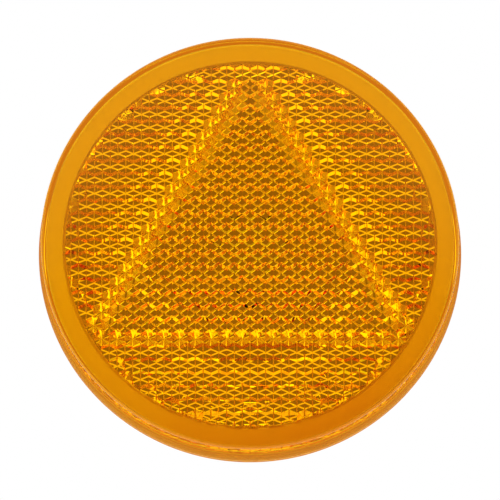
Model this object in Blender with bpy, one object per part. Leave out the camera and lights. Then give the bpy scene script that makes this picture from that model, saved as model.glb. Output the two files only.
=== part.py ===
"""Round 60 mm reflex reflector: prism lens, back plate, captive M5 stud, seal, washers and nut.

World frame: +Z up, the lens looks along -Y, and the panel it is bolted to lies on the +Y side.
The origin is where the stud's axis meets the rear mounting face.
Each piece is shaped in a local frame whose z runs along the lens axis, from the mounting face
at z = 0 to the front face, with x to the right and y up as the lens is looked at.
"""

import math

import bmesh
import bpy
from mathutils import Euler, Vector

MM = 0.001
GAP = 0.3 * MM

# Lens: one cup of clear amber acrylic.
LENS_DEPTH = 9.0 * MM
LENS_BACK_RADIUS = 30.0 * MM
LENS_FRONT_RADIUS = 29.4 * MM
LENS_EDGE_ROUND = 0.6 * MM
LENS_PLATE = 2.6 * MM
SKIRT_BORE_FRONT = 28.2 * MM
SKIRT_BORE_BACK = 28.5 * MM

# Cube corners, moulded on hexagonal pins into the lens's rear face. Pins are counted in rows
# from the middle one. The pins of the central triangle are turned half round, and a seam of
# flat-ended pins runs round it.
PIN_PITCH = 2.19 * MM
PIN_CORNER_RADIUS = PIN_PITCH / math.sqrt(3)
PIN_ROW_STEP = PIN_PITCH * math.sqrt(3) / 2
FIELD_RADIUS = 25.95 * MM
FIELD_CUTTER_TURN = math.radians(0.4)
PRISM_ROOT = 0.15 * MM
CUBE_CANT = math.radians(4.6)
TRIANGLE_APEX_ROW = 12
TRIANGLE_BASE_ROW = -6
SEAM_PIN_HEIGHT = 1.0 * MM
OUTER, CENTRE, SEAM = "outer", "centre", "seam"

# Back plate: amber ABS, welded behind the lens's smooth margin. Its middle is relieved, so that
# it bears on the panel with a ring.
PLATE_THICKNESS = 1.6 * MM
PLATE_RADIUS = 28.1 * MM
RELIEF_RADIUS = 12.0 * MM
RELIEF_DEPTH = 0.2 * MM
WELD_RIM_OUTER = 27.85 * MM
WELD_RIM_INNER = 26.3 * MM
RIB_COUNT = 6
RIB_WIDTH = 1.2 * MM
RIB_HEIGHT = 1.3 * MM
SEAL_POCKET_DEPTH = 0.8 * MM
SEAL_POCKET_RADIUS = 4.4 * MM
HEX_POCKET_WALL = 1.1 * MM
HEX_POCKET_HEIGHT = 1.7 * MM
HEX_POCKET_SINK = 0.1 * MM

# M5 fastening, behind the mounting face.
PANEL_SPACE = 1.2 * MM
STUD_RADIUS = 2.5 * MM
STUD_LENGTH = 15.0 * MM
STUD_TIP_CHAMFER = 0.6 * MM
STUD_HEAD_FLATS = 9.0 * MM
STUD_HEAD_THICKNESS = 1.2 * MM
CLEARANCE_RADIUS = STUD_RADIUS + GAP
SEAL_SECTION_RADIUS = 0.45 * MM
SEAL_RADIUS = 3.6 * MM
WASHER_RADIUS = 5.0 * MM
WASHER_THICKNESS = 1.0 * MM
SPRING_WASHER_RADIUS = 4.6 * MM
SPRING_WASHER_THICKNESS = 1.2 * MM
SPRING_WASHER_SLOT = 0.7 * MM
SPRING_WASHER_SLANT = math.radians(25)
NUT_FLATS = 8.0 * MM
NUT_THICKNESS = 4.0 * MM
NUT_CHAMFER = 0.5 * MM

# Faceting of round shapes.
LENS_STEPS = 120
SMALL_STEPS = 48
EDGE_STEPS = 4

# Heights along the lens axis that follow from the sizes above.
LENS_REAR_FACE = LENS_DEPTH - LENS_PLATE
SEAL_CENTRE = PLATE_THICKNESS - SEAL_POCKET_DEPTH + GAP + SEAL_SECTION_RADIUS
STUD_HEAD_BASE = SEAL_CENTRE + SEAL_SECTION_RADIUS + GAP
FLAT_WASHER_TOP = -PANEL_SPACE
SPRING_WASHER_TOP = FLAT_WASHER_TOP - WASHER_THICKNESS - GAP
NUT_TOP = SPRING_WASHER_TOP - SPRING_WASHER_THICKNESS - GAP


def clear_scene():
    for obj in list(bpy.data.objects):
        bpy.data.objects.remove(obj, do_unlink=True)


def make_material(name, colour, roughness, metallic=0.0, transmission=0.0):
    material = bpy.data.materials.new(name)
    material.use_nodes = True
    shader = material.node_tree.nodes["Principled BSDF"]
    shader.inputs["Base Color"].default_value = (*colour, 1.0)
    shader.inputs["Roughness"].default_value = roughness
    shader.inputs["Metallic"].default_value = metallic
    shader.inputs["Transmission Weight"].default_value = transmission
    return material


def add_object(name, mesh, parent=None, material=None):
    obj = bpy.data.objects.new(name, mesh)
    bpy.context.scene.collection.objects.link(obj)
    obj.parent = parent
    if material:
        mesh.materials.append(material)
    return obj


def add_empty(name, parent=None):
    empty = bpy.data.objects.new(name, None)
    bpy.context.scene.collection.objects.link(empty)
    empty.parent = parent
    return empty


def smooth_round(obj, angle=math.radians(35)):
    obj.data.shade_smooth()
    obj.data.set_sharp_from_angle(angle=angle)


def profile_mesh(name, points, closed):
    """Edges through (radius, height) points in the local XZ plane, for a Screw modifier."""
    mesh = bpy.data.meshes.new(name)
    vertices = [(radius, 0.0, height) for radius, height in points]
    edges = [(i, i + 1) for i in range(len(points) - 1)]
    if closed:
        edges.append((len(points) - 1, 0))
    mesh.from_pydata(vertices, edges, [])
    return mesh


def turned(name, points, steps, parent=None, material=None, closed=False):
    """A body of revolution about local z. Its profile runs down the outer side first."""
    obj = add_object(name, profile_mesh(name, points, closed), parent, material)
    screw = obj.modifiers.new("turn", "SCREW")
    screw.steps = steps
    screw.render_steps = steps
    screw.use_merge_vertices = True
    screw.merge_threshold = 1e-6
    return obj


def rod(name, radius, bottom, top, parent=None, steps=SMALL_STEPS):
    """A plain round bar along local z."""
    profile = [(0.0, top), (radius, top), (radius, bottom), (0.0, bottom)]
    return turned(name, profile, steps, parent)


def hex_prism(name, across_flats, bottom, top, parent=None, material=None):
    """A hexagonal bar along local z, with a flat facing +x."""
    mesh = bpy.data.meshes.new(name)
    shape = bmesh.new()
    corner_radius = across_flats / math.sqrt(3)
    ring = []
    for side in range(6):
        angle = math.radians(30 + 60 * side)
        x, y = corner_radius * math.cos(angle), corner_radius * math.sin(angle)
        ring.append(shape.verts.new((x, y, bottom)))
    base = shape.faces.new(reversed(ring))
    lifted = bmesh.ops.extrude_face_region(shape, geom=[base])
    raised = [item for item in lifted["geom"] if isinstance(item, bmesh.types.BMVert)]
    bmesh.ops.translate(shape, verts=raised, vec=(0, 0, top - bottom))
    bmesh.ops.recalc_face_normals(shape, faces=shape.faces)
    shape.to_mesh(mesh)
    shape.free()
    return add_object(name, mesh, parent, material)


def block(name, size, centre, parent=None):
    """A box with the given local size and centre."""
    mesh = bpy.data.meshes.new(name)
    shape = bmesh.new()
    bmesh.ops.create_cube(shape, size=1.0)
    bmesh.ops.scale(shape, vec=size, verts=shape.verts)
    bmesh.ops.translate(shape, vec=centre, verts=shape.verts)
    shape.to_mesh(mesh)
    shape.free()
    return add_object(name, mesh, parent)


def as_guide(obj):
    obj.hide_render = True
    obj.display_type = "WIRE"
    return obj


def combine(obj, other, operation):
    boolean = obj.modifiers.new(operation.lower() + "_" + other.name, "BOOLEAN")
    boolean.operation = operation
    boolean.solver = "EXACT"
    boolean.object = as_guide(other)


def edge_arc(radius_centre, height_centre, radius, start, end, steps=EDGE_STEPS):
    """Points on an arc in a turned profile, from one angle to the other in degrees."""
    points = []
    for step in range(steps + 1):
        angle = math.radians(start + (end - start) * step / steps)
        points.append((radius_centre + radius * math.cos(angle), height_centre + radius * math.sin(angle)))
    return points


def pin_kind(row, x):
    """Which zone a pin belongs to. The triangle's slanting sides follow the rows of pins."""
    if TRIANGLE_BASE_ROW <= row <= TRIANGLE_APEX_ROW:
        inside = (TRIANGLE_APEX_ROW - row) * PIN_PITCH / 2 - abs(x)
        if inside > -PIN_PITCH / 4:
            return CENTRE
        if inside > -PIN_PITCH * 5 / 4:
            return SEAM
    base_half_width = (TRIANGLE_APEX_ROW - row + 1) * PIN_PITCH / 2
    if row == TRIANGLE_BASE_ROW - 1 and abs(x) < base_half_width:
        return SEAM
    return OUTER


def pins():
    """Centre and zone of every pin that reaches the round field, with one ring to spare."""
    reach = FIELD_RADIUS + PIN_PITCH
    rows = math.ceil(reach / PIN_ROW_STEP)
    columns = math.ceil(reach / PIN_PITCH) + 1
    for row in range(-rows, rows + 1):
        shift = PIN_PITCH / 2 * ((row - TRIANGLE_APEX_ROW) % 2)
        for column in range(-columns, columns + 1):
            x, y = column * PIN_PITCH + shift, row * PIN_ROW_STEP
            if math.hypot(x, y) < reach:
                yield x, y, pin_kind(row, x)


def cube_corner(zone):
    """The three edges that rise from a cube's lowest corner, and where that corner is across the pin.

    The cube stands on its corner and leans by CUBE_CANT. Its corner is moved up or down the pin
    until the two slanting edges run out through corners of the pin.
    """
    edges = []
    first = 90 if zone == OUTER else 270
    for third in range(3):
        angle = math.radians(first + 120 * third)
        x = math.sqrt(2 / 3) * math.cos(angle)
        y = math.sqrt(2 / 3) * math.sin(angle)
        edges.append(Vector((x, y, math.sqrt(1 / 3))))
        edges[-1].rotate(Euler((-CUBE_CANT, 0, 0)))
    slope = edges[1].y / abs(edges[1].x)
    side = -1 if zone == OUTER else 1
    return edges, side * PIN_CORNER_RADIUS / 2 - slope * PIN_PITCH / 2


def cube_height(cube, x, y):
    """Height of the cube's faces over its lowest corner, at a place on the pin.

    Each face is square to one of the edges.
    """
    edges, corner_y = cube
    return max(-(edge.x * x + edge.y * (y - corner_y)) / edge.z for edge in edges)


def pin_corner_places():
    """The six corners of a pin, from its centre, beginning at the top."""
    places = []
    for corner in range(6):
        angle = math.radians(90 + 60 * corner)
        places.append((PIN_CORNER_RADIUS * math.cos(angle), PIN_CORNER_RADIUS * math.sin(angle)))
    return places


class PinField:
    """The pins' ends as one closed mesh: their faces below, upright steps between pins, a flat top."""

    def __init__(self, top):
        self.shape = bmesh.new()
        self.top = top
        self.cubes = {zone: cube_corner(zone) for zone in (OUTER, CENTRE)}
        corners = pin_corner_places()
        highest = max(cube_height(cube, x, y) for cube in self.cubes.values() for x, y in corners)
        self.lowest = LENS_REAR_FACE - PRISM_ROOT - highest
        self.levels = {}
        self.vertices = {}
        self.sides = {}

    def height(self, zone, x, y):
        over = SEAM_PIN_HEIGHT if zone == SEAM else cube_height(self.cubes[zone], x, y)
        return round((self.lowest + over) / MM, 5) * MM

    def vertex(self, place, z):
        """The vertex at a pin corner, whose place counts half pitches across and half corner radii up."""
        if (place, z) not in self.vertices:
            x, y = place[0] * PIN_PITCH / 2, place[1] * PIN_CORNER_RADIUS / 2
            self.vertices[place, z] = self.shape.verts.new((x, y, z))
        return self.vertices[place, z]

    def add_pin(self, centre_x, centre_y, zone):
        middle_y = self.cubes[zone][1] if zone in self.cubes else 0.0
        middle_z = self.height(zone, 0.0, middle_y)
        middle = self.shape.verts.new((centre_x, centre_y + middle_y, middle_z))
        ring = []
        for x, y in pin_corner_places():
            place = (round(2 * (centre_x + x) / PIN_PITCH), round(2 * (centre_y + y) / PIN_CORNER_RADIUS))
            z = self.height(zone, x, y)
            self.levels.setdefault(place, set()).add(z)
            ring.append((place, z))
        for i in range(6):
            start, end = ring[i], ring[(i + 1) % 6]
            self.sides.setdefault(frozenset((start[0], end[0])), []).append((middle, start, end))

    def upright(self, place, start_z, end_z):
        """Vertices up or down a pin corner, with those between that other pins put there."""
        low, high = min(start_z, end_z), max(start_z, end_z)
        inner = [z for z in self.levels[place] if low < z < high]
        ordered = sorted({start_z, *inner, end_z}, reverse=start_z > end_z)
        return [self.vertex(place, z) for z in ordered]

    def add_side(self, meeting):
        """The end faces along one side of a pin, and the step to the pin or rim beyond it."""
        middle, start, end = meeting[0]
        fans = [meeting[0]]
        other_start, other_end = (start[0], self.top), (end[0], self.top)
        if len(meeting) == 2:
            fans.append(meeting[1])
            other_end, other_start = meeting[1][1:]
        start_step, end_step = start[1] - other_start[1], end[1] - other_end[1]
        crossing = None
        if start_step * end_step < 0:
            share = start_step / (start_step - end_step)
            crossing = self.shape.verts.new(self.vertex(*start).co.lerp(self.vertex(*end).co, share))
        for middle, near, far in fans:
            near_vertex, far_vertex = self.vertex(*near), self.vertex(*far)
            if crossing is None:
                self.shape.faces.new((middle, far_vertex, near_vertex))
            else:
                self.shape.faces.new((middle, far_vertex, crossing))
                self.shape.faces.new((middle, crossing, near_vertex))
        first = self.upright(start[0], start[1], other_start[1])
        last = self.upright(end[0], other_end[1], end[1])
        if crossing is not None:
            self.shape.faces.new((crossing, *first))
            self.shape.faces.new((crossing, *last))
        elif len(first) + len(last) > 2:
            self.shape.faces.new((*first, *last))

    def mesh(self):
        for pair, meeting in self.sides.items():
            if len(meeting) == 1:
                for place in pair:
                    self.levels[place].add(self.top)
        for meeting in self.sides.values():
            self.add_side(meeting)
        rim = [edge for edge in self.shape.edges if edge.is_boundary]
        bmesh.ops.contextual_create(self.shape, geom=rim)
        bmesh.ops.recalc_face_normals(self.shape, faces=self.shape.faces)
        made = bpy.data.meshes.new("pin_field")
        self.shape.to_mesh(made)
        self.shape.free()
        return made


def make_prism_field(parent):
    """The pins' ends, cut to the round field. Their top lies inside the lens's plate."""
    field = PinField(LENS_REAR_FACE + LENS_PLATE / 4)
    for x, y, zone in pins():
        field.add_pin(x, y, zone)
    prisms = add_object("pin_field", field.mesh(), parent)
    rim_top = LENS_REAR_FACE + LENS_PLATE / 8
    rim = rod("field_rim", FIELD_RADIUS, PLATE_THICKNESS, rim_top, parent, LENS_STEPS)
    rim.rotation_euler.z = FIELD_CUTTER_TURN
    combine(prisms, rim, "INTERSECT")
    return prisms


def make_lens(parent):
    """A cup: flat face with a rounded rim, flared skirt, and the prism field behind its face."""
    amber = make_material("amber_acrylic", (0.83, 0.33, 0.01), 0.05, transmission=0.9)
    rim_centre = LENS_FRONT_RADIUS - LENS_EDGE_ROUND
    profile = [(0.0, LENS_DEPTH)]
    profile += edge_arc(rim_centre, LENS_DEPTH - LENS_EDGE_ROUND, LENS_EDGE_ROUND, 90, 0)
    profile += [
        (LENS_BACK_RADIUS, 0.0),
        (SKIRT_BORE_BACK, 0.0),
        (SKIRT_BORE_FRONT, LENS_REAR_FACE),
        (0.0, LENS_REAR_FACE),
    ]
    lens = turned("lens", profile, LENS_STEPS, parent, amber)
    combine(lens, make_prism_field(parent), "UNION")
    smooth_round(lens)
    return lens


def make_back_plate(parent):
    """A disc inside the skirt, with a weld rim, radial ribs, a seal pocket and a hexagon pocket."""
    abs_amber = make_material("amber_abs", (0.93, 0.52, 0.03), 0.45)
    rim_top = LENS_REAR_FACE - GAP
    profile = [
        (0.0, PLATE_THICKNESS),
        (WELD_RIM_INNER, PLATE_THICKNESS),
        (WELD_RIM_INNER, rim_top),
        (WELD_RIM_OUTER, rim_top),
        (WELD_RIM_OUTER, PLATE_THICKNESS),
        (PLATE_RADIUS, PLATE_THICKNESS),
        (PLATE_RADIUS, 0.0),
        (RELIEF_RADIUS, 0.0),
        (RELIEF_RADIUS - RELIEF_DEPTH, RELIEF_DEPTH),
        (0.0, RELIEF_DEPTH),
    ]
    plate = turned("back_plate", profile, LENS_STEPS, parent, abs_amber)
    pocket_flats = STUD_HEAD_FLATS + 2 * GAP
    boss_flats = pocket_flats + 2 * HEX_POCKET_WALL
    boss_top = PLATE_THICKNESS + HEX_POCKET_HEIGHT
    rooted = PLATE_THICKNESS / 2
    combine(plate, hex_prism("hex_boss", boss_flats, rooted, boss_top, parent), "UNION")
    rib_start = (boss_flats - HEX_POCKET_WALL) / 2
    rib_end = WELD_RIM_INNER + GAP
    rib_top = PLATE_THICKNESS + RIB_HEIGHT
    for index in range(RIB_COUNT):
        size = (rib_end - rib_start, RIB_WIDTH, rib_top - rooted)
        centre = ((rib_start + rib_end) / 2, 0.0, (rib_top + rooted) / 2)
        rib = block(f"rib_{index + 1}", size, centre, parent)
        rib.rotation_euler.z = math.tau * index / RIB_COUNT
        combine(plate, rib, "UNION")
    pocket_floor = PLATE_THICKNESS - HEX_POCKET_SINK
    seal_floor = PLATE_THICKNESS - SEAL_POCKET_DEPTH
    hex_pocket = hex_prism("hex_pocket", pocket_flats, pocket_floor, boss_top + GAP, parent)
    seal_pocket = rod("seal_pocket", SEAL_POCKET_RADIUS, seal_floor, boss_top, parent)
    stud_hole = rod("stud_hole", CLEARANCE_RADIUS, -GAP, boss_top, parent)
    for cutter in (hex_pocket, seal_pocket, stud_hole):
        combine(plate, cutter, "DIFFERENCE")
    smooth_round(plate)
    return plate


def make_stud_seal(parent):
    """A rubber ring round the stud, in the back plate's pocket and under the stud's head."""
    rubber = make_material("seal_rubber", (0.03, 0.03, 0.03), 0.7)
    section = edge_arc(SEAL_RADIUS, SEAL_CENTRE, SEAL_SECTION_RADIUS, 90, -270, steps=12)
    seal = turned("stud_seal", section[:-1], SMALL_STEPS, parent, rubber, closed=True)
    smooth_round(seal)
    return seal


def make_mounting_stud(parent):
    """A captive M5 screw: thin hexagon head in front of the back plate, plain shank out behind it."""
    zinc = make_material("zinc_plated_steel", (0.72, 0.72, 0.70), 0.3, metallic=1.0)
    head_top = STUD_HEAD_BASE + STUD_HEAD_THICKNESS
    stud = hex_prism("mounting_stud", STUD_HEAD_FLATS, STUD_HEAD_BASE, head_top, parent, zinc)
    shank_top = STUD_HEAD_BASE + STUD_HEAD_THICKNESS / 2
    profile = [
        (0.0, shank_top),
        (STUD_RADIUS, shank_top),
        (STUD_RADIUS, -STUD_LENGTH + STUD_TIP_CHAMFER),
        (STUD_RADIUS - STUD_TIP_CHAMFER, -STUD_LENGTH),
        (0.0, -STUD_LENGTH),
    ]
    combine(stud, turned("stud_shank", profile, SMALL_STEPS, parent), "UNION")
    smooth_round(stud)
    return stud


def make_flat_washer(parent):
    zinc = make_material("zinc_washer", (0.74, 0.74, 0.72), 0.3, metallic=1.0)
    profile = [
        (WASHER_RADIUS, FLAT_WASHER_TOP),
        (WASHER_RADIUS, FLAT_WASHER_TOP - WASHER_THICKNESS),
        (CLEARANCE_RADIUS, FLAT_WASHER_TOP - WASHER_THICKNESS),
        (CLEARANCE_RADIUS, FLAT_WASHER_TOP),
    ]
    washer = turned("flat_washer", profile, SMALL_STEPS, parent, zinc, closed=True)
    smooth_round(washer)
    return washer


def make_spring_washer(parent):
    """A split ring. Its slot is cut on a slant, as the ring is coiled from square wire."""
    steel = make_material("spring_steel", (0.45, 0.45, 0.44), 0.35, metallic=1.0)
    bottom = SPRING_WASHER_TOP - SPRING_WASHER_THICKNESS
    profile = [
        (SPRING_WASHER_RADIUS, SPRING_WASHER_TOP),
        (SPRING_WASHER_RADIUS, bottom),
        (CLEARANCE_RADIUS, bottom),
        (CLEARANCE_RADIUS, SPRING_WASHER_TOP),
    ]
    washer = turned("spring_washer", profile, SMALL_STEPS, parent, steel, closed=True)
    slot_size = (2 * WASHER_RADIUS, SPRING_WASHER_SLOT, 3 * SPRING_WASHER_THICKNESS)
    slot = block("slot_cutter", slot_size, (WASHER_RADIUS, 0.0, 0.0), parent)
    slot.location.z = (SPRING_WASHER_TOP + bottom) / 2
    slot.rotation_euler.x = SPRING_WASHER_SLANT
    combine(washer, slot, "DIFFERENCE")
    smooth_round(washer)
    return washer


def make_hex_nut(parent):
    """An M5 hexagon nut with both ends chamfered, bored clear of the plain shank."""
    zinc = make_material("zinc_nut", (0.74, 0.73, 0.70), 0.3, metallic=1.0)
    bottom = NUT_TOP - NUT_THICKNESS
    corner = NUT_FLATS / math.sqrt(3)
    nut = hex_prism("hex_nut", NUT_FLATS, bottom, NUT_TOP, parent, zinc)
    cone = [
        (0.0, NUT_TOP + GAP),
        (corner - 2 * NUT_CHAMFER, NUT_TOP + GAP),
        (corner + NUT_CHAMFER, NUT_TOP - NUT_CHAMFER),
        (corner + NUT_CHAMFER, bottom + NUT_CHAMFER),
        (corner - 2 * NUT_CHAMFER, bottom - GAP),
        (0.0, bottom - GAP),
    ]
    combine(nut, turned("nut_chamfer", cone, SMALL_STEPS, parent), "INTERSECT")
    combine(nut, rod("nut_bore", CLEARANCE_RADIUS, bottom - GAP, NUT_TOP + GAP, parent), "DIFFERENCE")
    smooth_round(nut)
    return nut


def main():
    clear_scene()
    lens_axis = add_empty("lens_axis")
    lens_axis.rotation_euler.x = math.radians(90)
    make_lens(lens_axis)
    make_back_plate(lens_axis)
    make_stud_seal(lens_axis)
    make_mounting_stud(lens_axis)
    nut_travel = add_empty("nut_travel", lens_axis)
    make_flat_washer(nut_travel)
    make_spring_washer(nut_travel)
    nut_spin = add_empty("nut_spin", nut_travel)
    make_hex_nut(nut_spin)


main()
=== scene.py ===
import math

import bmesh
import bpy
from mathutils import Matrix, Vector


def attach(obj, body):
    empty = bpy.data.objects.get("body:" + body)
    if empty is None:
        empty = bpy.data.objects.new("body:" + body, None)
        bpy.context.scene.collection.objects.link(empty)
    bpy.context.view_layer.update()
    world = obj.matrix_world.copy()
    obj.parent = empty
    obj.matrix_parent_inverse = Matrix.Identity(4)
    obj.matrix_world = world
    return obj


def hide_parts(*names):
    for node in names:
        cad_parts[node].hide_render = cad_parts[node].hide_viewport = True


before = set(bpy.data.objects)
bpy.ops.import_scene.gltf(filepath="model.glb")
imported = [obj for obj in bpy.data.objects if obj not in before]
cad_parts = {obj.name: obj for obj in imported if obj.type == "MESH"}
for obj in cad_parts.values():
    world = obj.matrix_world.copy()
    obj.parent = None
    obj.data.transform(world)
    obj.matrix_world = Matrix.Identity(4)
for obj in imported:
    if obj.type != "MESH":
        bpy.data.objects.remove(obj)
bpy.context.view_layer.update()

mm = 0.001
lensTurn = Matrix.Rotation(math.radians(90), 4, "X")  # local z, the lens axis, becomes -Y in the frame

# Sizes that several pieces share, in millimetres. Local z is counted forward from the mounting face.
reflector = {
    "depth": 9.0,
    "rearFace": 6.4,  # back of the lens's own plate
    "fieldRadius": 25.95,  # the round field of prisms
    "floor": 1.6,  # inner face of the rear cover
    "threadRadius": 2.5,
    "threadPitch": 0.8,
    "threadDepth": 0.45,
    "panelSpace": 1.2,  # free room between the rear cover and the flat washer
    "gap": 0.3,
}


def srgbToLinear(hexColour):
    # "#rrggbb" to the linear values that shader sockets take
    values = []
    for start in (1, 3, 5):
        share = int(hexColour[start:start + 2], 16) / 255
        values.append(share / 12.92 if share <= 0.04045 else ((share + 0.055) / 1.055) ** 2.4)
    return (*values, 1.0)


def addNode(tree, kind, settings=None, inputs=None, links=None):
    # settings are the node's own properties, inputs its socket values, links {socket: source socket}
    node = tree.nodes.new(kind)
    for name, value in (settings or {}).items():
        setattr(node, name, value)
    for name, value in (inputs or {}).items():
        node.inputs[name].default_value = value
    for name, source in (links or {}).items():
        tree.links.new(source, node.inputs[name])
    return node


def newMaterial(name):
    material = bpy.data.materials.new(name)
    material.use_nodes = True
    material.node_tree.nodes.clear()
    return material, material.node_tree


def noiseNode(tree, scale, detail):
    # soft mottling in the piece's own coordinates; its lumps are about 1 / scale metres wide
    place = addNode(tree, "ShaderNodeTexCoord")
    return addNode(tree, "ShaderNodeTexNoise", inputs={"Scale": scale, "Detail": detail},
                   links={"Vector": place.outputs["Object"]})


def rampNode(tree, source, stops):
    # stops are (position, colour) from low to high
    ramp = addNode(tree, "ShaderNodeValToRGB", links={"Fac": source})
    elements = ramp.color_ramp.elements
    while len(elements) < len(stops):
        elements.new(1.0)
    for element, (position, colour) in zip(elements, stops):
        element.position, element.color = position, colour
    return ramp


def addPiece(name, shape):
    mesh = bpy.data.meshes.new(name)
    bmesh.ops.recalc_face_normals(shape, faces=shape.faces)
    shape.to_mesh(mesh)
    shape.free()
    piece = bpy.data.objects.new(name, mesh)
    bpy.context.scene.collection.objects.link(piece)
    return piece


def onCircle(radius, angle, z):
    # a point round the z axis, from millimetres to metres
    return radius * math.cos(angle) * mm, radius * math.sin(angle) * mm, z * mm


def turnedShape(points, steps, closed=False, startAngle=0.0):
    # a profile of (radius, z) in millimetres turned about z; a radius of 0 is a point on the axis
    shape = bmesh.new()
    rings = []
    for radius, z in points:
        if radius == 0:
            rings.append([shape.verts.new((0, 0, z * mm))])
            continue
        ring = []
        for step in range(steps):
            angle = startAngle + math.tau * step / steps
            ring.append(shape.verts.new(onCircle(radius, angle, z)))
        rings.append(ring)
    pairs = list(zip(rings, rings[1:]))
    if closed:
        pairs.append((rings[-1], rings[0]))
    for upper, lower in pairs:
        for step in range(steps):
            after = (step + 1) % steps
            if len(upper) == 1:
                shape.faces.new((upper[0], lower[step], lower[after]))
            elif len(lower) == 1:
                shape.faces.new((upper[step], lower[0], upper[after]))
            else:
                shape.faces.new((upper[step], lower[step], lower[after], upper[after]))
    return shape


def roundedProfile(corners, segments=4):
    # corners are (radius, z, rounding); each rounding becomes a fillet of that radius in millimetres
    points = []
    for index, (radius, z, rounding) in enumerate(corners):
        here = Vector((radius, z))
        if not rounding:
            points.append((radius, z))
            continue
        before = (Vector(corners[index - 1][:2]) - here).normalized()
        after = (Vector(corners[(index + 1) % len(corners)][:2]) - here).normalized()
        halfAngle = before.angle(after) / 2
        reach = rounding / math.tan(halfAngle)
        centre = here + (before + after).normalized() * (rounding / math.sin(halfAngle))
        start, end = here + before * reach - centre, here + after * reach - centre
        sweep = start.angle_signed(end)
        for step in range(segments + 1):
            turn = -sweep * step / segments
            spoke = Matrix.Rotation(turn, 2) @ start
            points.append(tuple(centre + spoke))
    return points


def barShape(acrossFlats, bottom, top):
    # a hexagonal bar with a flat towards +x
    shape = bmesh.new()
    radius = acrossFlats / math.sqrt(3)
    for z in (bottom, top):
        ring = []
        for side in range(6):
            angle = math.radians(30 + 60 * side)
            ring.append(shape.verts.new(onCircle(radius, angle, z)))
        shape.faces.new(ring)
    low, high = shape.verts[:6], shape.verts[6:]
    for side in range(6):
        shape.faces.new((low[side], low[(side + 1) % 6], high[(side + 1) % 6], high[side]))
    return shape


def boxShape(size, centre, turn=0.0):
    shape = bmesh.new()
    bmesh.ops.create_cube(shape, size=1.0)
    bmesh.ops.scale(shape, vec=[side * mm for side in size], verts=shape.verts)
    bmesh.ops.translate(shape, vec=[place * mm for place in centre], verts=shape.verts)
    bmesh.ops.rotate(shape, verts=shape.verts, cent=(0, 0, 0), matrix=Matrix.Rotation(turn, 3, "Z"))
    return shape


def joinSolids(target, shape, operation):
    # the Boolean's result becomes the target's own mesh
    other = addPiece("tool", shape) if isinstance(shape, bmesh.types.BMesh) else shape
    cut = target.modifiers.new("join", "BOOLEAN")
    cut.operation = operation
    cut.solver = "EXACT"
    cut.object = other
    bpy.context.view_layer.update()
    seen = target.evaluated_get(bpy.context.evaluated_depsgraph_get())
    made = bpy.data.meshes.new_from_object(seen)
    target.modifiers.clear()
    target.data = made
    bpy.data.objects.remove(other)


def bevelEdges(piece, width, segments, chosen):
    # chamfers or rounds the edges that the test picks
    shape = bmesh.new()
    shape.from_mesh(piece.data)
    shape.normal_update()
    edges = [edge for edge in shape.edges if chosen(edge)]
    bmesh.ops.bevel(shape, geom=edges, offset=width * mm, offset_type="OFFSET", segments=segments,
                    profile=0.5, affect="EDGES", clamp_overlap=False)
    shape.to_mesh(piece.data)
    shape.free()


def finishPiece(piece, material, bodyName, nodes, smoothUnder=30):
    # turns the piece to the frame, gives it its finish, and hangs it on its CAD body
    piece.data.transform(lensTurn)
    piece.data.materials.clear()
    piece.data.materials.append(material)
    piece.data.shade_smooth()
    piece.data.set_sharp_from_angle(angle=math.radians(smoothUnder))
    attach(piece, bodyName)
    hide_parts(*nodes)
    print("made", piece.name, len(piece.data.polygons), "faces")


def amberAcrylic():
    # acrylic dyed amber in the melt and moulded against polished steel: glass-clear, and all its colour
    # is in its depth, so the thin face reads yellow and the long way down the skirt reads red-orange;
    # the index is fitted and lies a little over acrylic's own 1.49
    material, tree = newMaterial("amberAcrylic")
    shader = addNode(tree, "ShaderNodeBsdfPrincipled", inputs={
        "Base Color": (1, 1, 1, 1), "Roughness": 0.0, "IOR": 1.53, "Transmission Weight": 1.0})
    dye = addNode(tree, "ShaderNodeVolumeAbsorption", inputs={
        "Color": (0.999, 0.96, 0.05, 1.0), "Density": 620.0})
    addNode(tree, "ShaderNodeOutputMaterial",
            links={"Surface": shader.outputs["BSDF"], "Volume": dye.outputs["Volume"]})
    return material


def amberAbs():
    # amber ABS moulded in a spark-eroded tool: an even satin with a fine grain; a painted shade deepens
    # the colour from yellow amber at the top to orange at the foot
    material, tree = newMaterial("amberAbs")
    grain = noiseNode(tree, 6000.0, 2.0)  # 0.15 mm spark grain
    clouds = noiseNode(tree, 90.0, 3.0)
    place = addNode(tree, "ShaderNodeTexCoord")
    # painted shade: the colour runs deeper orange towards the foot, and a little towards +x
    paintedShadeWay = (4, 0, -17)  # per metre, so about 1 over the piece's 60 mm
    down = addNode(tree, "ShaderNodeVectorMath", {"operation": "DOT_PRODUCT"},
                   inputs={1: paintedShadeWay}, links={0: place.outputs["Object"]})
    # random mottling added to the painted shade towards the foot
    mottleAndShade = addNode(tree, "ShaderNodeMath", {"operation": "MULTIPLY_ADD"}, inputs={1: 0.15},
                    links={0: clouds.outputs["Fac"], 2: down.outputs["Value"]})
    tone = rampNode(tree, mottleAndShade.outputs[0], [
        (0.0, srgbToLinear("#fcd62c")), (0.3, srgbToLinear("#f8ca26")), (0.6, srgbToLinear("#eba018"))])
    relief = addNode(tree, "ShaderNodeBump", inputs={"Strength": 0.25, "Distance": 0.00002},
                     links={"Height": grain.outputs["Fac"]})
    shader = addNode(tree, "ShaderNodeBsdfPrincipled", inputs={"Roughness": 0.5, "IOR": 1.52},
                     links={"Base Color": tone.outputs["Color"], "Normal": relief.outputs["Normal"]})
    addNode(tree, "ShaderNodeOutputMaterial", links={"Surface": shader.outputs["BSDF"]})
    return material


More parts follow.
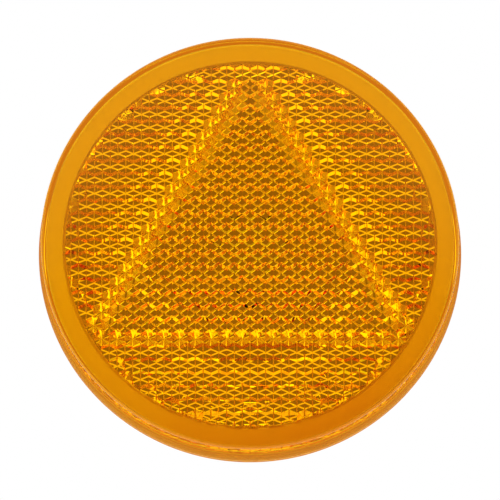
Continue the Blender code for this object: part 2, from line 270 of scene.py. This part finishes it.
def zincPlate(name):
    # steel, barrel zinc plated and clear passivated: bright, faintly blue and yellow, dulled by handling
    material, tree = newMaterial(name)
    film = noiseNode(tree, 350.0, 4.0)
    barrel = noiseNode(tree, 3500.0, 2.0)
    tone = rampNode(tree, film.outputs["Fac"], [
        (0.3, srgbToLinear("#c3c6cb")), (0.5, srgbToLinear("#cfcfcd")), (0.7, srgbToLinear("#cdc8ba"))])
    dull = addNode(tree, "ShaderNodeMapRange", inputs={"To Min": 0.2, "To Max": 0.36},
                   links={"Value": film.outputs["Fac"]})
    relief = addNode(tree, "ShaderNodeBump", inputs={"Strength": 0.15, "Distance": 0.00002},
                     links={"Height": barrel.outputs["Fac"]})
    shader = addNode(tree, "ShaderNodeBsdfPrincipled", inputs={"Metallic": 1.0}, links={
        "Base Color": tone.outputs["Color"], "Roughness": dull.outputs["Result"],
        "Normal": relief.outputs["Normal"]})
    addNode(tree, "ShaderNodeOutputMaterial", links={"Surface": shader.outputs["BSDF"]})
    return material


def springSteel():
    # coiled square wire, hardened and zinc-flake coated: darker and duller than the nut
    material, tree = newMaterial("springSteel")
    flakes = noiseNode(tree, 1800.0, 3.0)
    tone = rampNode(tree, flakes.outputs["Fac"], [
        (0.3, srgbToLinear("#8b8c8e")), (0.7, srgbToLinear("#a5a5a3"))])
    dull = addNode(tree, "ShaderNodeMapRange", inputs={"To Min": 0.34, "To Max": 0.5},
                   links={"Value": flakes.outputs["Fac"]})
    shader = addNode(tree, "ShaderNodeBsdfPrincipled", inputs={"Metallic": 1.0}, links={
        "Base Color": tone.outputs["Color"], "Roughness": dull.outputs["Result"]})
    addNode(tree, "ShaderNodeOutputMaterial", links={"Surface": shader.outputs["BSDF"]})
    return material


def nitrileRubber():
    # moulded black nitrile: deep grey, with a dry dusty bloom
    material, tree = newMaterial("nitrileRubber")
    bloom = noiseNode(tree, 1500.0, 3.0)
    tone = rampNode(tree, bloom.outputs["Fac"], [
        (0.3, srgbToLinear("#1c1c1d")), (0.8, srgbToLinear("#2f2f30"))])
    shader = addNode(tree, "ShaderNodeBsdfPrincipled", inputs={"Roughness": 0.7},
                     links={"Base Color": tone.outputs["Color"]})
    addNode(tree, "ShaderNodeOutputMaterial", links={"Surface": shader.outputs["BSDF"]})
    return material


lensSizes = {
    "backRadius": 30.0,
    "frontRadius": 29.4,
    "edgeRound": 0.4,
    "boreFront": 28.75,
    "boreBack": 28.9,
    "footRound": 0.15,
    "steps": 240,
}
prisms = {
    "pitch": 2.19,  # across the flats of one hexagonal pin
    "root": 0.15,  # the pins' highest corners lie this far behind the plate
    "bury": 0.4,  # the pins' solid is carried this far into the plate,
    "rimBury": 0.3,  # and the round cutter that trims the field this far
    "cant": 5.5,  # degrees that each cube's axis leans up
    "apexRow": 12,  # rows are counted from the middle of the field
    "baseRow": -6,
    "slack": 0.25,  # of a pitch, so that rounding can't move a pin across a border
    "edgeRound": 0.12,
    "centreRound": 0.19,
    "foldAngle": 60,  # a cube's edges fold by more degrees than this
    "faceLean": (-0.85, -0.3),  # and lie between faces whose normals have a z in this range
    "rimTurn": 0.4,  # degrees; keeps the field's rim off the pins' own sides
}
outerKind, centreKind, seamKind = "outer", "centre", "seam"
firstEdge = {outerKind: 90, centreKind: 270, seamKind: 180}  # where each kind's first edge points, in degrees
seamPost = {  # the flat pad beside each pin of the slanting seams
    "offset": (0.65, 0.45),
    "size": (0.74, 0.78),
    "over": 0.5,  # its end lies this far over the pins' lowest corners
    "bury": 0.2,
    "turn": 8,
    "rimMargin": 1.6,  # none stands closer to the field's rim
}
codeDashes = {
    "arcs": [
        (23.2, (238, 243, 255, 261, 270, 276, 290, 296, 301), (1.6, 0.9, 1.6, 1.6, 2.1, 0.9, 1.6, 0.9, 1.6)),
        (26.3, (251, 256, 261, 269, 274, 282, 287), (1.7, 1.0, 1.7, 1.0, 1.7, 1.7, 1.0)),
    ],
    "width": 0.95,
    "depth": 0.22,
    "slope": 0.22,
}


def cubeShape(kind):
    # the three edges that rise from a cube's lowest corner, leaned by the cant, and that corner's own y
    lean = math.radians(prisms["cant"])
    edges = []
    for turn in range(3):
        angle = math.radians(firstEdge[kind] + 120 * turn)
        x = math.sqrt(2 / 3) * math.cos(angle)
        y = math.sqrt(2 / 3) * math.sin(angle)
        z = math.sqrt(1 / 3)
        leaned = (y * math.cos(lean) + z * math.sin(lean), -y * math.sin(lean) + z * math.cos(lean))
        edges.append(Vector((x, *leaned)))
    if kind == seamKind:
        return edges, 0.0
    # the lowest corner is moved along y until the two slanting edges run into the pin's own corners
    slope = edges[1].y / abs(edges[1].x)
    side = -1 if kind == outerKind else 1
    return edges, side * prisms["pitch"] / math.sqrt(3) / 2 - prisms["pitch"] / 2 * slope


def cubeHeight(cube, x, y):
    # height over the cube's lowest corner, at a place measured from the pin's centre
    edges, lowestY = cube
    return max(-(edge.x * x + edge.y * (y - lowestY)) / edge.z for edge in edges)


def pinKind(row, x):
    pitch = prisms["pitch"]
    if prisms["baseRow"] <= row <= prisms["apexRow"]:
        inside = (prisms["apexRow"] - row) * pitch / 2 - abs(x)
        if inside > -prisms["slack"] * pitch:
            return centreKind
        if inside > -(1 + prisms["slack"]) * pitch:
            return seamKind
    if row == prisms["baseRow"] - 1 and abs(x) < (prisms["apexRow"] - row + 1) * pitch / 2:
        return seamKind
    return outerKind


def pinRow(y):
    return round(y / (prisms["pitch"] * math.sqrt(3) / 2))


def pinPlaces():
    pitch = prisms["pitch"]
    rowStep = pitch * math.sqrt(3) / 2
    reach = reflector["fieldRadius"] + pitch
    rows = math.ceil(reach / rowStep)
    columns = math.ceil(reach / pitch) + 1
    for row in range(-rows, rows + 1):
        shift = pitch / 2 * ((row - prisms["apexRow"]) % 2)
        for column in range(-columns, columns + 1):
            x, y = column * pitch + shift, row * rowStep
            if math.hypot(x, y) < reach:
                yield x, y, pinKind(row, x)


def prismField():
    # the ends of all pins as one solid: faces below, upright steps between pins, and a flat top
    pitch = prisms["pitch"]
    cornerRadius = pitch / math.sqrt(3)
    cubes = {kind: cubeShape(kind) for kind in firstEdge}
    ringPlaces = []
    for step in range(6):
        angle = math.radians(90 + 60 * step)
        ringPlaces.append((cornerRadius * math.cos(angle), cornerRadius * math.sin(angle)))
    highest = max(cubeHeight(cube, x, y) for cube in cubes.values() for x, y in ringPlaces)
    lowest = reflector["rearFace"] - prisms["root"] - highest
    top = reflector["rearFace"] + prisms["bury"]
    shape = bmesh.new()
    levels, sides, made = {}, {}, {}

    def surfaceHeight(kind, x, y):
        return round(lowest + cubeHeight(cubes[kind], x, y), 5)

    def vertex(place, z):
        # pin corners stand on a grid of half pitches across and half corner radii up
        if (place, z) not in made:
            x, y = place[0] * pitch / 2, place[1] * cornerRadius / 2
            made[place, z] = shape.verts.new((x * mm, y * mm, z * mm))
        return made[place, z]

    def upright(place, startZ, endZ):
        # up or down a pin's corner, by way of the heights that other pins have there
        low, high = min(startZ, endZ), max(startZ, endZ)
        between = {z for z in levels[place] if low < z < high}
        return [vertex(place, z) for z in sorted({startZ, endZ} | between, reverse=startZ > endZ)]

    for x, y, kind in pinPlaces():
        middleY = cubes[kind][1]
        middle = shape.verts.new((x * mm, (y + middleY) * mm, surfaceHeight(kind, 0, middleY) * mm))
        ring = []
        for cornerX, cornerY in ringPlaces:
            place = (round(2 * (x + cornerX) / pitch), round(2 * (y + cornerY) / cornerRadius))
            z = surfaceHeight(kind, cornerX, cornerY)
            levels.setdefault(place, set()).add(z)
            ring.append((place, z))
        for step in range(6):
            start, end = ring[step], ring[(step + 1) % 6]
            sides.setdefault(frozenset((start[0], end[0])), []).append((middle, start, end))
    for pair, meeting in sides.items():
        if len(meeting) == 1:
            for place in pair:
                levels[place].add(top)
    for meeting in sides.values():
        middle, start, end = meeting[0]
        otherStart, otherEnd = (start[0], top), (end[0], top)
        if len(meeting) == 2:
            otherEnd, otherStart = meeting[1][1:]
        startStep, endStep = start[1] - otherStart[1], end[1] - otherEnd[1]
        crossing = None
        if startStep * endStep < 0:
            share = startStep / (startStep - endStep)
            crossing = shape.verts.new(vertex(*start).co.lerp(vertex(*end).co, share))
        for tip, near, far in meeting:
            if crossing is None:
                shape.faces.new((tip, vertex(*far), vertex(*near)))
            else:
                shape.faces.new((tip, vertex(*far), crossing))
                shape.faces.new((tip, crossing, vertex(*near)))
        first = upright(start[0], start[1], otherStart[1])
        last = upright(end[0], otherEnd[1], end[1])
        if crossing is not None:
            shape.faces.new((crossing, *first))
            shape.faces.new((crossing, *last))
        elif len(first) + len(last) > 2:
            shape.faces.new((*first, *last))
    rim = [edge for edge in shape.edges if edge.is_boundary]
    bmesh.ops.contextual_create(shape, geom=rim)
    bmesh.ops.recalc_face_normals(shape, faces=shape.faces)
    bmesh.ops.dissolve_limit(shape, angle_limit=0.01, verts=shape.verts, edges=shape.edges)
    return addPiece("prismField", shape), lowest


def seamPosts(lowest):
    # small square posts that stand beside the slanting seams' pins, with flat polished ends
    shape = bmesh.new()
    width, height = seamPost["size"]
    bottom, top = lowest + seamPost["over"], reflector["rearFace"] + seamPost["bury"]
    reach = reflector["fieldRadius"] - seamPost["rimMargin"]
    for x, y, kind in pinPlaces():
        if kind != seamKind or pinRow(y) < prisms["baseRow"] or math.hypot(x, y) > reach:
            continue
        side = math.copysign(1, x)
        turn = Matrix.Rotation(math.radians(-side * seamPost["turn"]), 4, "Z")
        centre = (x + side * seamPost["offset"][0], y + seamPost["offset"][1], (bottom + top) / 2)
        place = Matrix.Translation(Vector(centre) * mm) @ turn @ Matrix.Diagonal(
            (width * mm, height * mm, (top - bottom) * mm, 1))
        bmesh.ops.create_cube(shape, size=1.0, matrix=place)
    return shape


def cubeEdge(edge):
    # one of the three edges that meet in a cube's lowest corner, between two sloping faces
    foldAngle = math.radians(prisms["foldAngle"])
    if not edge.is_manifold or not edge.is_convex or edge.calc_face_angle(0) < foldAngle:
        return False
    flattest, steepest = prisms["faceLean"]
    return all(flattest < face.normal.z < steepest for face in edge.link_faces)


def centreEdge(edge):
    middle = (edge.verts[0].co + edge.verts[1].co) / 2 / mm
    return cubeEdge(edge) and pinKind(pinRow(middle.y), middle.x) == centreKind


def dashShape():
    # shallow dashes with sloping sides, in two arcs, that stand for the mould's code
    shape = bmesh.new()
    for radius, angles, lengths in codeDashes["arcs"]:
        for angle, length in zip(angles, lengths):
            turn = math.radians(angle)
            made = bmesh.ops.create_cube(shape, size=1.0)["verts"]
            for vert in made:
                deep = vert.co.z < 0
                slope = codeDashes["slope"] if deep else 0
                side = Vector((math.copysign(length / 2 - slope, vert.co.x),
                               math.copysign(codeDashes["width"] / 2 - slope, vert.co.y), 0))
                side.rotate(Matrix.Rotation(turn + math.pi / 2, 3, "Z"))
                z = reflector["depth"] + (-codeDashes["depth"] if deep else codeDashes["depth"])
                x, y = radius * math.cos(turn) + side.x, radius * math.sin(turn) + side.y
                vert.co = Vector((x, y, z)) * mm
    return shape


def buildLens():
    profile = roundedProfile([
        (lensSizes["frontRadius"], reflector["depth"], lensSizes["edgeRound"]),
        (lensSizes["backRadius"], 0, lensSizes["footRound"]),
        (lensSizes["boreBack"], 0, lensSizes["footRound"]),
        (lensSizes["boreFront"], reflector["rearFace"], 0),
        (0, reflector["rearFace"], 0),
        (0, reflector["depth"], 0),
    ], segments=8)
    lens = addPiece("reflectorLens", turnedShape([profile[-1], *profile[:-1]], lensSizes["steps"]))
    field, lowest = prismField()
    joinSolids(field, seamPosts(lowest), "UNION")
    rimTop = reflector["rearFace"] + prisms["rimBury"]
    rim = [(0, rimTop), (reflector["fieldRadius"], rimTop),
           (reflector["fieldRadius"], reflector["floor"]), (0, reflector["floor"])]
    rimShape = turnedShape(rim, lensSizes["steps"], startAngle=math.radians(prisms["rimTurn"]))
    joinSolids(field, rimShape, "INTERSECT")
    joinSolids(lens, field, "UNION")
    bevelEdges(lens, prisms["centreRound"], 1, centreEdge)
    bevelEdges(lens, prisms["edgeRound"], 1, cubeEdge)
    joinSolids(lens, dashShape(), "DIFFERENCE")
    finishPiece(lens, amberAcrylic(), "reflector", ["lens"], smoothUnder=14)


coverSizes = {
    "radius": 28.7,
    "rimOuter": 28.65,
    "reliefRadius": 12.0,
    "reliefDepth": 0.2,
    "rimInner": 26.3,
    "edgeRound": 0.2,
    "innerRound": 0.1,
    "reliefRound": 0.05,
    "ribs": 6,
    "ribWidth": 1.2,
    "ribHeight": 1.3,
    "bossFlats": 11.8,
    "pocketFlats": 9.6,
    "pocketSink": 0.1,  # the pocket goes this far below the floor
    "bossHeight": 1.7,
    "sealRadius": 4.4,
    "sealDepth": 0.8,
    "holeRadius": 2.8,
    "markRadius": 1.6,
    "markDepth": 0.06,
    "markRing": 19.0,
    "steps": 192,
    "holeSteps": 64,
    "markSteps": 40,
}


def buildRearCover():
    top = reflector["rearFace"] - reflector["gap"]
    floor = reflector["floor"]
    rounding, innerRound = coverSizes["edgeRound"], coverSizes["innerRound"]
    reliefRound, reliefDepth = coverSizes["reliefRound"], coverSizes["reliefDepth"]
    profile = roundedProfile([
        (coverSizes["rimInner"], floor, rounding),
        (coverSizes["rimInner"], top, innerRound),
        (coverSizes["rimOuter"], top, innerRound),
        (coverSizes["rimOuter"], floor, 0),
        (coverSizes["radius"], floor, innerRound),
        (coverSizes["radius"], 0, rounding),
        (coverSizes["reliefRadius"], 0, reliefRound),
        (coverSizes["reliefRadius"] - reliefDepth, reliefDepth, reliefRound),
        (0, reliefDepth, 0),
        (0, floor, 0),
    ])
    cover = addPiece("rearCover", turnedShape([profile[-1], *profile[:-1]], coverSizes["steps"]))
    bossTop = floor + coverSizes["bossHeight"]
    joinSolids(cover, barShape(coverSizes["bossFlats"], floor / 2, bossTop), "UNION")
    ribStart = (coverSizes["bossFlats"] + coverSizes["pocketFlats"]) / 4
    ribEnd = coverSizes["rimInner"] + reflector["gap"]
    for index in range(coverSizes["ribs"]):
        size = (ribEnd - ribStart, coverSizes["ribWidth"], coverSizes["ribHeight"] + floor / 2)
        centre = ((ribStart + ribEnd) / 2, 0, floor / 2 + size[2] / 2)
        joinSolids(cover, boxShape(size, centre, math.tau * index / coverSizes["ribs"]), "UNION")
    past = 1.0  # a cut runs this far beyond the solid
    pocketBottom = floor - coverSizes["pocketSink"]
    joinSolids(cover, barShape(coverSizes["pocketFlats"], pocketBottom, bossTop + past), "DIFFERENCE")
    sealSeat = (coverSizes["sealRadius"], floor - coverSizes["sealDepth"])
    for radius, bottom in (sealSeat, (coverSizes["holeRadius"], -past)):
        hole = [(0, bossTop + past), (radius, bossTop + past), (radius, bottom), (0, bottom)]
        joinSolids(cover, turnedShape(hole, coverSizes["holeSteps"]), "DIFFERENCE")
    # round witness marks of the mould's ejector pins, on the mounting face
    for index in range(coverSizes["ribs"]):
        angle = math.tau * (index + 0.5) / coverSizes["ribs"]
        radius, depth = coverSizes["markRadius"], coverSizes["markDepth"]
        profile = [(0, depth), (radius - depth, depth), (radius, -depth), (0, -depth)]
        mark = turnedShape(profile, coverSizes["markSteps"])
        bmesh.ops.translate(mark, verts=mark.verts, vec=onCircle(coverSizes["markRing"], angle, 0))
        joinSolids(cover, mark, "DIFFERENCE")
    finishPiece(cover, amberAbs(), "reflector", ["back_plate"])


thread = {
    "clearance": 0.07,  # how much wider the nut's thread is than the stud's, in radius
    "crest": 0.125,  # share of a half turn that is crest
    "flank": 0.75,  # share of it that slopes
    "steps": 60,
    "rows": 8,
}


def threadRadius(share, extra=0.0):
    # share runs once from crest to crest: a narrow crest, a straight flank down, a narrow root, and back
    down = min(abs(share - round(share)) * 2, 1.0)
    flank = min(max((down - thread["crest"]) / thread["flank"], 0.0), 1.0)
    return reflector["threadRadius"] + extra - reflector["threadDepth"] * flank


def threadShape(bottom, top, extra=0.0):
    # a closed helical body; rows run along the helix, so that the crest is one clean line
    steps, perTurn = thread["steps"], thread["rows"]
    pitch = reflector["threadPitch"]
    rowStep = pitch / perTurn
    spare = 2  # turns past either end, which the caller's Boolean cuts away
    # whole pitches from the origin, so that the nut's thread lies in the stud's
    first = (math.floor(bottom / pitch) - spare) * pitch
    rows = math.ceil((top - bottom) / rowStep) + 2 * spare * perTurn
    shape = bmesh.new()
    grid = []
    for step in range(steps):
        angle = math.tau * step / steps
        column = []
        for row in range(rows):
            z = first + (row + perTurn * step / steps) * rowStep
            column.append(shape.verts.new(onCircle(threadRadius(row / perTurn, extra), angle, z)))
        grid.append(column)
    for step in range(steps):
        shift = perTurn if step == steps - 1 else 0
        near, far = grid[step], grid[(step + 1) % steps]
        for row in range(rows - 1 - shift):
            shape.faces.new((near[row], near[row + 1], far[row + 1 + shift], far[row + shift]))
    middle = (bottom + top) / 2 * mm
    ends = {low: shape.verts.new((0, 0, (bottom if low else top) * mm)) for low in (True, False)}
    ends[True].co.z -= (spare + 1) * pitch * mm
    ends[False].co.z += (spare + 1) * pitch * mm
    for edge in [edge for edge in shape.edges if edge.is_boundary]:
        shape.faces.new((*edge.verts, ends[edge.verts[0].co.z < middle]))
    bmesh.ops.recalc_face_normals(shape, faces=shape.faces)
    return shape


washerTop = -reflector["panelSpace"]
studSizes = {
    "end": -15.0,
    "chamfer": 0.6,
    "shank": washerTop + 0.6,  # the thread runs out just behind the rear cover
    "undersize": 0.05,  # the plain shank is this much thinner than the thread, in radius
    "runout": (0.1, 0.5),  # the plain shank narrows to the thread's root between these, behind its end
    "headFlats": 9.0,
    "headBase": 2.3,
    "headTop": 3.5,
    "headBury": 0.2,  # the shank is carried this far into the head
    "headRound": 0.12,
    "steps": 64,
}


def buildStud():
    end, chamfer, shank = studSizes["end"], studSizes["chamfer"], studSizes["shank"]
    radius, depth = reflector["threadRadius"], reflector["threadDepth"]
    stud = addPiece("mountingStud", threadShape(end, shank))
    joinSolids(stud, turnedShape([
        (0, shank), (radius - depth, shank), (radius, shank - depth), (radius, end + chamfer),
        (radius - chamfer, end), (0, end)], studSizes["steps"]), "INTERSECT")
    plain = radius - studSizes["undersize"]
    root = radius - depth - studSizes["undersize"]
    top = studSizes["headBase"] + studSizes["headBury"]
    taperStart, taperEnd = (shank - behind for behind in studSizes["runout"])
    joinSolids(stud, turnedShape([
        (0, top), (plain, top), (plain, taperStart), (root, taperEnd), (0, taperEnd)],
        studSizes["steps"]), "UNION")
    head = addPiece("studHead", barShape(studSizes["headFlats"], studSizes["headBase"], studSizes["headTop"]))
    bevelEdges(head, studSizes["headRound"], 2, lambda edge: edge.calc_face_angle(0) > 0.5)
    joinSolids(stud, head, "UNION")
    finishPiece(stud, zincPlate("studZinc"), "reflector", ["mounting_stud"])


sealSizes = {"radius": 3.6, "section": 0.45, "centre": 1.55, "sectionSteps": 24, "steps": 96}


def buildSeal():
    points = []
    for step in range(sealSizes["sectionSteps"]):
        angle = math.tau * step / sealSizes["sectionSteps"]
        points.append((sealSizes["radius"] + sealSizes["section"] * math.cos(angle),
                       sealSizes["centre"] + sealSizes["section"] * math.sin(angle)))
    seal = addPiece("studSeal", turnedShape(points, sealSizes["steps"], closed=True))
    finishPiece(seal, nitrileRubber(), "reflector", ["stud_seal"])


washerSizes = {
    "radius": 5.0,
    "bore": 2.8,
    "thickness": 1.0,
    "punchRound": 0.22,  # blanked from strip, so it is rolled over on the punch side
    "boreRound": 0.2,
    "dieRound": 0.08,  # and has sharper edges on the other
    "steps": 120,
}


def buildFlatWasher():
    low = washerTop - washerSizes["thickness"]
    inner, outer = washerSizes["bore"], washerSizes["radius"]
    profile = roundedProfile([
        (outer, washerTop, washerSizes["punchRound"]), (outer, low, washerSizes["dieRound"]),
        (inner, low, washerSizes["dieRound"]), (inner, washerTop, washerSizes["boreRound"])])
    washer = addPiece("flatWasher", turnedShape(profile, washerSizes["steps"], closed=True))
    finishPiece(washer, zincPlate("washerZinc"), "washers", ["flat_washer"])


springTop = washerTop - washerSizes["thickness"] - reflector["gap"]
springSizes = {
    "radius": 4.6,
    "bore": 2.8,
    "thickness": 1.2,
    "slot": 0.7,
    "slant": 25.0,  # degrees that the slot leans
    "rise": 0.2,  # the coil's own pitch, left after clamping
    "edgeRound": 0.18,
    "steps": 110,
}


def buildSpringWasher():
    thickness, rounding, steps = springSizes["thickness"], springSizes["edgeRound"], springSizes["steps"]
    low = springTop - thickness
    profile = roundedProfile([
        (springSizes["radius"], springTop, rounding), (springSizes["radius"], low, rounding),
        (springSizes["bore"], low, rounding), (springSizes["bore"], springTop, rounding)])
    slotAngle = springSizes["slot"] / springSizes["radius"]
    slant = math.tan(math.radians(springSizes["slant"]))
    shape = bmesh.new()
    rings = []
    for step in range(steps + 1):
        along = slotAngle / 2 + (math.tau - slotAngle) * step / steps
        rise = springSizes["rise"] * (step / steps - 0.5)
        ring = []
        for radius, z in profile:
            angle = along + (z - springTop + thickness / 2) * slant / radius
            ring.append(shape.verts.new(onCircle(radius, angle, z + rise)))
        rings.append(ring)
    for near, far in zip(rings, rings[1:]):
        for index in range(len(profile)):
            after = (index + 1) % len(profile)
            shape.faces.new((near[index], near[after], far[after], far[index]))
    shape.faces.new(rings[0])
    shape.faces.new(rings[-1])
    washer = addPiece("springWasher", shape)
    finishPiece(washer, springSteel(), "washers", ["spring_washer"])


nutSizes = {
    "flats": 8.0,
    "thickness": 4.0,
    "chamfer": 30.0,  # degrees
    "cornerSpare": 0.05,  # the chamfering cone starts this far outside the corners
    "faceInset": 0.1,  # and ends this far inside the flats
    "mouth": 0.15,  # the countersink at either end is this much wider than the thread, in radius
    "mouthDepth": 0.5,
    "mouthSpare": 0.1,
    "steps": 96,
    "mouthSteps": 64,
}


def buildNut():
    flats, spare, depth = nutSizes["flats"], nutSizes["mouthSpare"], nutSizes["mouthDepth"]
    top = springTop - springSizes["thickness"] - reflector["gap"]
    bottom = top - nutSizes["thickness"]
    corner = flats / math.sqrt(3) + nutSizes["cornerSpare"]
    inner = flats / 2 - nutSizes["faceInset"]
    drop = (corner - inner) * math.tan(math.radians(nutSizes["chamfer"]))
    nut = addPiece("hexNut", barShape(flats, bottom, top))
    joinSolids(nut, turnedShape([
        (0, top), (inner, top), (corner, top - drop), (corner, bottom + drop), (inner, bottom),
        (0, bottom)], nutSizes["steps"]), "INTERSECT")
    joinSolids(nut, threadShape(bottom, top, thread["clearance"]), "DIFFERENCE")
    mouth = reflector["threadRadius"] + nutSizes["mouth"]
    for face, inward in ((top, -1), (bottom, 1)):
        outer, deepest = face - inward * spare, face + inward * depth
        cone = [(0, outer), (mouth + spare, outer), (mouth - depth, deepest), (0, deepest)]
        joinSolids(nut, turnedShape(cone, nutSizes["mouthSteps"]), "DIFFERENCE")
    finishPiece(nut, zincPlate("nutZinc"), "nut", ["hex_nut"])


shot = {"elevation": -10.7, "lens": 400.0, "frameWidth": 0.0702, "aimZ": -0.0012}
room = {
    "strength": 1.9,
    "cardSize": (0.17, 0.30),  # half width and height of the dark oval around the camera, in a unit direction
    "cardColour": (0.3, 0.125, 0.03, 1.0),
    "glowSize": (0.50, 0.55),  # the same for the warm light round that card
    "glowColour": (1.15, 0.6, 0.25, 1.0),
    # painted shade: a dark warm oval of the room behind the piece, seen only by glass and metal
    "shadeBehindSize": (0.42, 0.52),  # the same for the warm shade behind the piece
    "shadeBehindColour": (0.6, 0.19, 0.03, 1.0),
    "backColour": (0.5, 0.5, 0.5, 1.0),
    "frontColour": (1.0, 0.71, 0.2, 1.0),
    "frontToBack": 0.2,  # the two blend this far to either side of the middle
    "ovalEdge": (1.2, 0.85),  # an oval fades in between these shares of its own size
    "ovalSide": 0.1,
}


def setCamera():
    data = bpy.data.cameras.new("camera")
    data.sensor_width = 36.0
    data.lens = shot["lens"]
    data.clip_start = 0.01
    camera = bpy.data.objects.new("camera", data)
    bpy.context.scene.collection.objects.link(camera)
    angle = math.radians(shot["elevation"])
    distance = shot["frameWidth"] * data.lens / data.sensor_width
    aim = Vector((0.0, -reflector["depth"] * mm, shot["aimZ"]))
    back = Vector((0, -math.cos(angle), math.sin(angle)))
    camera.location = aim + back * distance
    camera.rotation_euler = (-back).to_track_quat("-Z", "Y").to_euler()
    bpy.context.scene.camera = camera


def ovalMask(tree, direction, size, frontward):
    # 1 inside a soft-edged oval of directions round the frame's Y axis, on its front or back side
    oval = addNode(tree, "ShaderNodeVectorMath", {"operation": "MULTIPLY"},
                   inputs={1: (1 / size[0], 0, 1 / size[1])}, links={0: direction})
    distance = addNode(tree, "ShaderNodeVectorMath", {"operation": "LENGTH"},
                       links={0: oval.outputs["Vector"]})
    fadeStart, fadeEnd = room["ovalEdge"]
    near = addNode(tree, "ShaderNodeMapRange", inputs={"From Min": fadeStart, "From Max": fadeEnd},
                   links={"Value": distance.outputs["Value"]})
    parts = addNode(tree, "ShaderNodeSeparateXYZ", links={0: direction})
    sideEnd = -room["ovalSide"] if frontward else room["ovalSide"]
    side = addNode(tree, "ShaderNodeMapRange", inputs={"From Min": 0.0, "From Max": sideEnd},
                   links={"Value": parts.outputs["Y"]})
    return addNode(tree, "ShaderNodeMath", {"operation": "MULTIPLY"},
                   links={0: near.outputs["Result"], 1: side.outputs["Result"]}).outputs[0]


def setWorld():
    # a soft white room, plain to the camera and to the matt surfaces; glass and metal also meet the warm
    # light in front, the dark card round the camera and the warm shade behind
    world = bpy.data.worlds.new("studio")
    world.use_nodes = True
    tree = world.node_tree
    tree.nodes.clear()
    direction = addNode(tree, "ShaderNodeTexCoord").outputs["Generated"]
    depth = addNode(tree, "ShaderNodeSeparateXYZ", links={0: direction})
    blend = room["frontToBack"]
    backness = addNode(tree, "ShaderNodeMapRange", inputs={"From Min": -blend, "From Max": blend},
                       links={"Value": depth.outputs["Y"]})
    tint = rampNode(tree, backness.outputs["Result"], [(0.0, room["frontColour"]), (1.0, room["backColour"])])
    bright = addNode(tree, "ShaderNodeBackground", inputs={"Strength": room["strength"]},
                     links={"Color": tint.outputs["Color"]})
    dark = addNode(tree, "ShaderNodeBackground", inputs={"Color": room["cardColour"]})
    warm = addNode(tree, "ShaderNodeBackground", inputs={"Color": room["shadeBehindColour"]})
    amber = addNode(tree, "ShaderNodeBackground", inputs={"Color": room["glowColour"]})
    card = ovalMask(tree, direction, room["cardSize"], frontward=True)
    glow = ovalMask(tree, direction, room["glowSize"], frontward=True)
    # the painted shade behind the piece, which only glass and metal see
    shadeBehind = ovalMask(tree, direction, room["shadeBehindSize"], frontward=False)
    near = addNode(tree, "ShaderNodeMixShader", links={0: glow, 1: bright.outputs[0], 2: amber.outputs[0]})
    lit = addNode(tree, "ShaderNodeMixShader", links={0: card, 1: near.outputs[0], 2: dark.outputs[0]})
    soft = addNode(tree, "ShaderNodeMixShader", links={0: shadeBehind, 1: lit.outputs[0], 2: warm.outputs[0]})
    plain = addNode(tree, "ShaderNodeBackground", inputs={"Color": (1, 1, 1, 1)})
    path = addNode(tree, "ShaderNodeLightPath")
    direct = addNode(tree, "ShaderNodeMath", {"operation": "MAXIMUM"},
                     links={0: path.outputs["Is Camera Ray"], 1: path.outputs["Is Diffuse Ray"]})
    mix = addNode(tree, "ShaderNodeMixShader",
                  links={0: direct.outputs[0], 1: soft.outputs[0], 2: plain.outputs[0]})
    addNode(tree, "ShaderNodeOutputWorld", links={"Surface": mix.outputs[0]})
    bpy.context.scene.world = world


board = {"halfSide": 1.5, "drop": 0.2, "colour": "#f7f7f5"}  # in metres; the drop is from the lens's middle


def setFloor():
    # pale painted board; it carries soft light and shadow, and neither glass nor metal shows it
    shape = bmesh.new()
    bmesh.ops.create_grid(shape, x_segments=1, y_segments=1, size=board["halfSide"])
    floor = addPiece("floor", shape)
    floor.location.z = -board["drop"]
    material, tree = newMaterial("paleBoard")
    shader = addNode(tree, "ShaderNodeBsdfPrincipled",
                     inputs={"Base Color": srgbToLinear(board["colour"]), "Roughness": 0.8})
    addNode(tree, "ShaderNodeOutputMaterial", links={"Surface": shader.outputs["BSDF"]})
    floor.data.materials.append(material)
    floor.visible_glossy = False
    floor.visible_transmission = False


buildLens()
buildRearCover()
buildStud()
buildSeal()
buildFlatWasher()
buildSpringWasher()
buildNut()
setFloor()
setWorld()
setCamera()
scene = bpy.context.scene
scene.view_settings.view_transform = "Standard"
scene.cycles.max_bounces = 32
scene.cycles.glossy_bounces = 24
scene.cycles.transmission_bounces = 24
